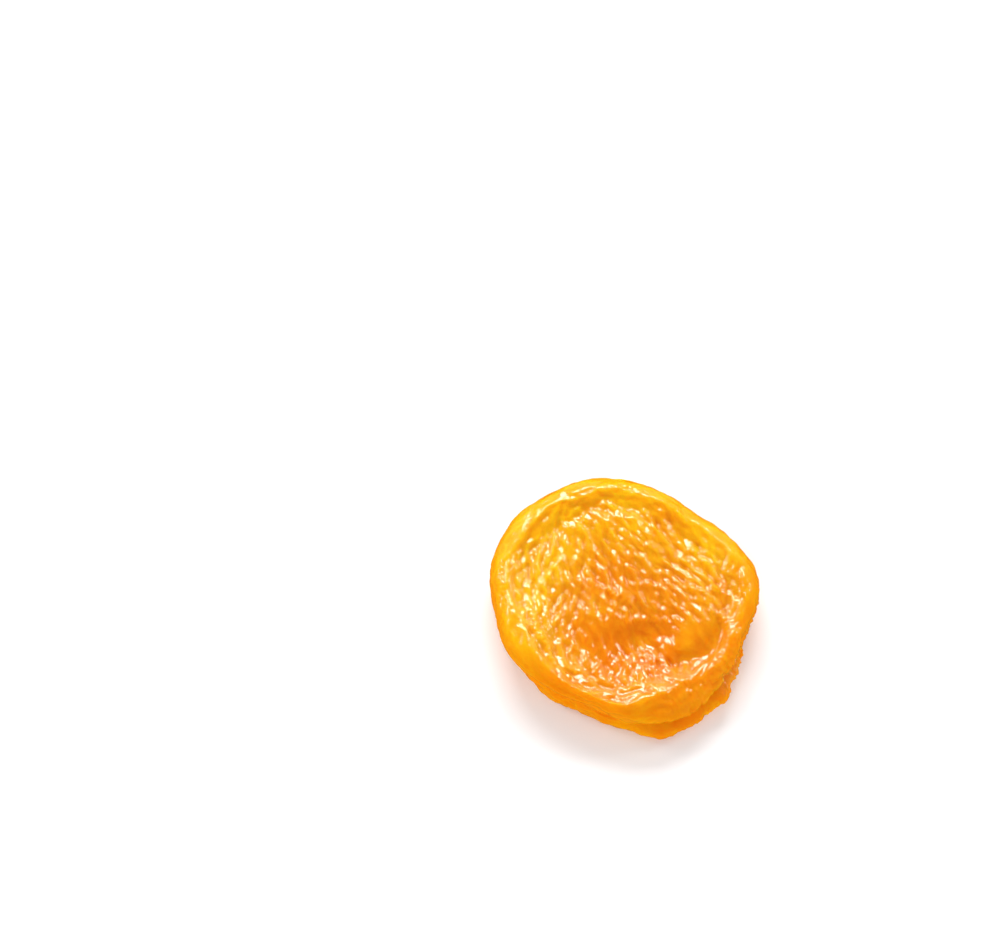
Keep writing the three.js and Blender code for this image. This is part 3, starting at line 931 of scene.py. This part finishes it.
class NodeSheet:
    """A short way to write a material's nodes and the links between them."""

    def __init__(self, tree: bpy.types.NodeTree) -> None:
        """Takes the node tree that is written to."""
        self.tree = tree

    def add(self, kind: str, **settings: object) -> bpy.types.Node:
        """Adds a node.

        Args:
            kind: The node's type.
            settings: The node's own settings.

        Returns:
            The node.
        """
        node = self.tree.nodes.new(kind)
        for name, value in settings.items():
            setattr(node, name, value)
        return node

    def join(self, source: bpy.types.NodeSocket, target: bpy.types.NodeSocket) -> None:
        """Links one socket to another."""
        self.tree.links.new(source, target)

    def mark(self, mark: SkinMark) -> bpy.types.NodeSocket:
        """Reads one of the skin's marks."""
        return self.add("ShaderNodeAttribute", attribute_name=mark.value).outputs["Fac"]

    def spread(self, value: bpy.types.NodeSocket, ramp: Ramp) -> bpy.types.NodeSocket:
        """Sends a value through a ramp.

        Args:
            value: The value's socket.
            ramp: The ramp.

        Returns:
            The new value's socket.
        """
        node = self.add("ShaderNodeMapRange", interpolation_type="SMOOTHSTEP")
        self.join(value, node.inputs["Value"])
        names = ("From Min", "From Max", "To Min", "To Max")
        for name, number in zip(names, (*ramp.span, *ramp.to)):
            node.inputs[name].default_value = number
        return node.outputs["Result"]

    def times(
        self, first: bpy.types.NodeSocket, second: bpy.types.NodeSocket
    ) -> bpy.types.NodeSocket:
        """Multiplies two values.

        Args:
            first: The first value's socket.
            second: The second value's socket.

        Returns:
            The product's socket.
        """
        node = self.add("ShaderNodeMath", operation="MULTIPLY")
        self.join(first, node.inputs[0])
        self.join(second, node.inputs[1])
        return node.outputs[0]

    def blend(
        self,
        share: bpy.types.NodeSocket,
        first: bpy.types.NodeSocket | Colour,
        second: bpy.types.NodeSocket | Colour,
    ) -> bpy.types.NodeSocket:
        """Blends two colours.

        Args:
            share: How much of the second colour there is.
            first: The first colour, or its socket.
            second: The second colour, or its socket.

        Returns:
            The blended colour's socket.
        """
        node = self.add("ShaderNodeMix", data_type="RGBA", blend_type="MIX")
        self.join(share, node.inputs["Factor"])
        for name, colour in (("A", first), ("B", second)):
            socket = next(s for s in node.inputs if s.name == name and s.type == "RGBA")
            if isinstance(colour, tuple):
                socket.default_value = colour
            else:
                self.join(colour, socket)
        return next(s for s in node.outputs if s.type == "RGBA")

    def noise(self, size: float, detail: float) -> bpy.types.NodeSocket:
        """Makes a cloudy pattern whose clouds are about one size across.

        Args:
            size: The size of a cloud, in metres.
            detail: How many finer layers it has.

        Returns:
            The pattern's socket, from 0 to 1.
        """
        place = self.add("ShaderNodeTexCoord").outputs["Object"]
        node = self.add("ShaderNodeTexNoise")
        self.join(place, node.inputs["Vector"])
        node.inputs["Scale"].default_value = 1 / size
        node.inputs["Detail"].default_value = detail
        return node.outputs["Fac"]


@dataclass(frozen=True)
class MoistFlesh:
    """Moist, glossy, translucent flesh under a thin skin: yellow at the rim, orange within. The
    rim's yellow is partly painted glow towards the back lamp; a deeper orange paints shade in
    the fold valleys, and a redder one paints shade over the underside.
    """

    # Rim yellow, also the painted glow on the side of the rim towards the back lamp.
    rim_yellow_and_painted_glow: Colour = (0.93, 0.54, 0.004, 1)
    face_orange: Colour = (0.84, 0.3, 0.003, 1)
    # Deeper orange, also the painted shade in the fold valleys.
    deep_orange_and_valley_shade: Colour = (0.82, 0.22, 0.001, 1)
    # Torn flesh orange, also the painted shade over the underside.
    torn_and_underside_shade_orange: Colour = (0.92, 0.3, 0.002, 1)
    torn_pale: Colour = (0.96, 0.42, 0.05, 1)
    yellow: Ramp = Ramp((0, 0.8))
    valley_shade: Ramp = Ramp((0.4, 0.9), (0, 0.2))
    lump: Ramp = Ramp((0.2, 0.8), (0.25, 0))
    hollow: Ramp = Ramp((0.2, 1), (0, 0.85))
    torn: Ramp = Ramp((0.1, 0.9))
    torn_edge: Ramp = Ramp((0.88, 1), (0, 0.55))
    yellow_clouds: Clouds = Clouds(5 * MM, 3, Ramp((0.45, 0.7), (0, 0.3)))
    orange_clouds: Clouds = Clouds(8 * MM, 2, Ramp((0.5, 0.7), (0, 0.35)))
    roughness: float = 0.2
    ior: float = 1.45
    specular: float = 0.35
    specular_tint: Colour = (1, 0.78, 0.3, 1)
    coat: float = 1
    coat_roughness: float = 0.04
    coat_ior: float = 1.75
    glow_depth: float = 1.7 * MM
    glow_colour: tuple[float, float, float] = (1.0, 0.62, 0.16)
    pore_size: float = 0.45 * MM
    pore_height: float = 0.06 * MM
    pore_detail: float = 3

    def colour(self, sheet: NodeSheet) -> bpy.types.NodeSocket:
        """Mixes the flesh's colour from the skin's marks and soft clouds, with painted glow on
        the rim towards the back lamp and painted shade in the fold valleys and over the
        underside.

        Args:
            sheet: The material's nodes.

        Returns:
            The colour's socket.
        """
        skin = self.face_orange
        for mark, ramp, laid_over in (
            # Painted glow: rim yellow, strongest towards the back lamp.
            (SkinMark.YELLOW_AND_GLOW, self.yellow, self.rim_yellow_and_painted_glow),
            # Painted shade: deeper orange in the fold valleys.
            (SkinMark.VALLEY_SHADE, self.valley_shade, self.deep_orange_and_valley_shade),
            (SkinMark.LUMP, self.lump, self.deep_orange_and_valley_shade),
            (SkinMark.HOLLOW, self.hollow, self.deep_orange_and_valley_shade),
            # Torn flesh, and painted shade over the underside.
            (SkinMark.TORN_AND_SHADE, self.torn, self.torn_and_underside_shade_orange),
            (SkinMark.TORN_AND_SHADE, self.torn_edge, self.torn_pale),
        ):
            skin = sheet.blend(sheet.spread(sheet.mark(mark), ramp), skin, laid_over)
        for clouds, laid_over in (
            (self.yellow_clouds, self.rim_yellow_and_painted_glow),
            (self.orange_clouds, self.deep_orange_and_valley_shade),
        ):
            pattern = sheet.noise(clouds.size, clouds.detail)
            skin = sheet.blend(sheet.spread(pattern, clouds.ramp), skin, laid_over)
        return skin

    def material(self) -> bpy.types.Material:
        """Makes the flesh's material.

        Returns:
            The material.
        """
        material = bpy.data.materials.new("moist_apricot_flesh")
        material.use_nodes = True
        sheet = NodeSheet(material.node_tree)
        shader = material.node_tree.nodes["Principled BSDF"]
        sheet.join(self.colour(sheet), shader.inputs["Base Color"])
        shader.inputs["Roughness"].default_value = self.roughness
        shader.inputs["IOR"].default_value = self.ior
        shader.inputs["Specular IOR Level"].default_value = self.specular
        shader.inputs["Subsurface Weight"].default_value = 1
        shader.inputs["Subsurface Radius"].default_value = self.glow_colour
        shader.inputs["Subsurface Scale"].default_value = self.glow_depth
        film = sheet.spread(sheet.mark(SkinMark.FILM), Ramp((0, 1), (0, self.coat)))
        sheet.join(film, shader.inputs["Coat Weight"])
        shader.inputs["Specular Tint"].default_value = self.specular_tint
        shader.inputs["Coat IOR"].default_value = self.coat_ior
        shader.inputs["Coat Roughness"].default_value = self.coat_roughness
        bump = sheet.add("ShaderNodeBump")
        bump.inputs["Strength"].default_value = 1
        bump.inputs["Distance"].default_value = self.pore_height
        sheet.join(sheet.noise(self.pore_size, self.pore_detail), bump.inputs["Height"])
        sheet.join(bump.outputs["Normal"], shader.inputs["Normal"])
        sheet.join(bump.outputs["Normal"], shader.inputs["Coat Normal"])
        return material


@dataclass(frozen=True)
class SoftBox:
    """A soft studio lamp that faces the fruit."""

    name: str
    place: tuple[float, float, float]
    width: float
    depth: float
    power: float
    mirrored: bool = True

    def build(self) -> bpy.types.Object:
        """Hangs the lamp.

        Returns:
            The lamp's object.
        """
        lamp = bpy.data.lights.new(self.name, "AREA")
        lamp.shape = "RECTANGLE"
        lamp.size = self.width
        lamp.size_y = self.depth
        lamp.energy = self.power
        holder = bpy.data.objects.new(self.name, lamp)
        bpy.context.scene.collection.objects.link(holder)
        holder.location = self.place
        holder.rotation_euler = (-Vector(self.place)).to_track_quat("-Z", "Y").to_euler()
        holder.visible_glossy = self.mirrored
        log.info("%s: %.1f W", self.name, self.power)
        return holder


@dataclass
class Studio:
    """A white table top under a bright tent, and the camera that looks down on the fruit."""

    table_size: float = 3.0
    table_white: Colour = (0.97, 0.965, 0.97, 1)
    table_roughness: float = 0.9
    table_specular: float = 0.1
    tent_strength: float = 0.73
    overhead_strength: float = 0.56
    mirrored_above: Colour = (0.07, 0.06, 0.045, 1)
    mirrored_around: Colour = (0.7, 0.42, 0.1, 1)
    mirrored_below: Colour = (0.6, 0.27, 0.03, 1)
    back_wall: Colour = (0.75, 0.64, 0.5, 1)
    overhead: tuple[float, float] = (0.2, 0.55)
    horizon: Ramp = Ramp((-0.12, 0.05))
    ceiling: Ramp = Ramp((0.1, 0.45))
    wall_top: Ramp = Ramp((0.35, 0.6), (1, 0))
    wall_side: Ramp = Ramp((0.3, 0.8))
    elevation: float = 70
    near_clip: float = 0.01
    lens: float = 100
    sensor: float = 36
    frame_width: float = 149.8 * MM
    fruit_in_frame: tuple[float, float] = (18.44 * MM, -22.08 * MM)
    lamps: tuple = (
        SoftBox("back_soft_box", (-0.05, 0.6, 0.58), 0.56, 0.26, 5.0),
        SoftBox("left_soft_box", (-0.6, 0.25, 0.42), 0.15, 0.15, 0.9),
        SoftBox("right_soft_box", (0.6, 0.3, 0.45), 0.16, 0.16, 0.9),
        SoftBox("front_fill", (-0.2, -0.6, 0.45), 0.6, 0.4, 1.6, mirrored=False),
    )

    def table(self) -> bpy.types.Object:
        """Lays the white table top.

        Returns:
            The table's object.
        """
        top = bmesh.new()
        bmesh.ops.create_grid(top, x_segments=1, y_segments=1, size=self.table_size / 2)
        mesh = bpy.data.meshes.new("table_top")
        top.to_mesh(mesh)
        top.free()
        material = bpy.data.materials.new("white_table")
        material.use_nodes = True
        shader = material.node_tree.nodes["Principled BSDF"]
        shader.inputs["Base Color"].default_value = self.table_white
        shader.inputs["Roughness"].default_value = self.table_roughness
        shader.inputs["Specular IOR Level"].default_value = self.table_specular
        mesh.materials.append(material)
        table = bpy.data.objects.new("table_top", mesh)
        bpy.context.scene.collection.objects.link(table)
        table.visible_glossy = False
        table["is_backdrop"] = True
        log.info("table_top: %.1f m", self.table_size)
        return table

    def tent(self) -> None:
        """Sets the bright tent, which lights the fruit but shows only dimly in its gloss."""
        world = bpy.data.worlds.new("white_tent")
        world.use_nodes = True
        bpy.context.scene.world = world
        sheet = NodeSheet(world.node_tree)
        place = sheet.add("ShaderNodeTexCoord").outputs["Generated"]
        parts = sheet.add("ShaderNodeSeparateXYZ")
        sheet.join(place, parts.inputs[0])
        back, up = parts.outputs["Y"], parts.outputs["Z"]
        dimming = Ramp(self.overhead, (self.tent_strength, self.overhead_strength))
        light = world.node_tree.nodes["Background"]
        light.inputs["Color"].default_value = (1, 1, 1, 1)
        sheet.join(sheet.spread(up, dimming), light.inputs["Strength"])
        above = sheet.spread(up, self.horizon)
        high = sheet.spread(up, self.ceiling)
        room = sheet.blend(high, self.mirrored_around, self.mirrored_above)
        room = sheet.blend(above, self.mirrored_below, room)
        wall = sheet.times(sheet.spread(up, self.wall_top), sheet.spread(back, self.wall_side))
        room = sheet.blend(sheet.times(wall, above), room, self.back_wall)
        mirrored = sheet.add("ShaderNodeBackground")
        sheet.join(room, mirrored.inputs["Color"])
        either = sheet.add("ShaderNodeMixShader")
        sheet.join(sheet.add("ShaderNodeLightPath").outputs["Is Glossy Ray"], either.inputs[0])
        sheet.join(light.outputs[0], either.inputs[1])
        sheet.join(mirrored.outputs[0], either.inputs[2])
        sheet.join(either.outputs[0], world.node_tree.nodes["World Output"].inputs["Surface"])

    def camera(self) -> bpy.types.Object:
        """Sets the camera so that the fruit lies where the photograph shows it.

        Returns:
            The camera's object.
        """
        lens = bpy.data.cameras.new("camera")
        lens.lens = self.lens
        lens.sensor_width = self.sensor
        lens.clip_start = self.near_clip
        camera = bpy.data.objects.new("camera", lens)
        bpy.context.scene.collection.objects.link(camera)
        tilt = math.radians(self.elevation)
        towards = Vector((0, -math.cos(tilt), math.sin(tilt)))
        right = Vector((1, 0, 0))
        up = Vector((0, math.sin(tilt), math.cos(tilt)))
        across, above = self.fruit_in_frame
        aim = -right * across - up * above
        distance = self.frame_width / self.sensor * self.lens
        camera.location = aim + towards * distance
        camera.rotation_euler = towards.to_track_quat("Z", "Y").to_euler()
        bpy.context.scene.camera = camera
        return camera

    def build(self) -> None:
        """Builds the table, the tent, the lamps and the camera."""
        self.table()
        self.tent()
        for lamp in self.lamps:
            lamp.build()
        self.camera()
        bpy.context.scene.view_settings.view_transform = "Standard"


def plain(box: tuple) -> list[list[float]]:
    """Writes a box's two corners as plain lists of numbers."""
    return [[float(v) for v in corner] for corner in box]


def main() -> None:
    """Builds the fruit and the studio, and works out both boxes' sizes."""
    logging.basicConfig(level=logging.INFO, format="%(message)s")
    solid_box = plain(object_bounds())
    DriedApricot().build()
    Studio().build()
    {"solid": solid_box, "visual": plain(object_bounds())}


if __name__ == "__main__":
    main()
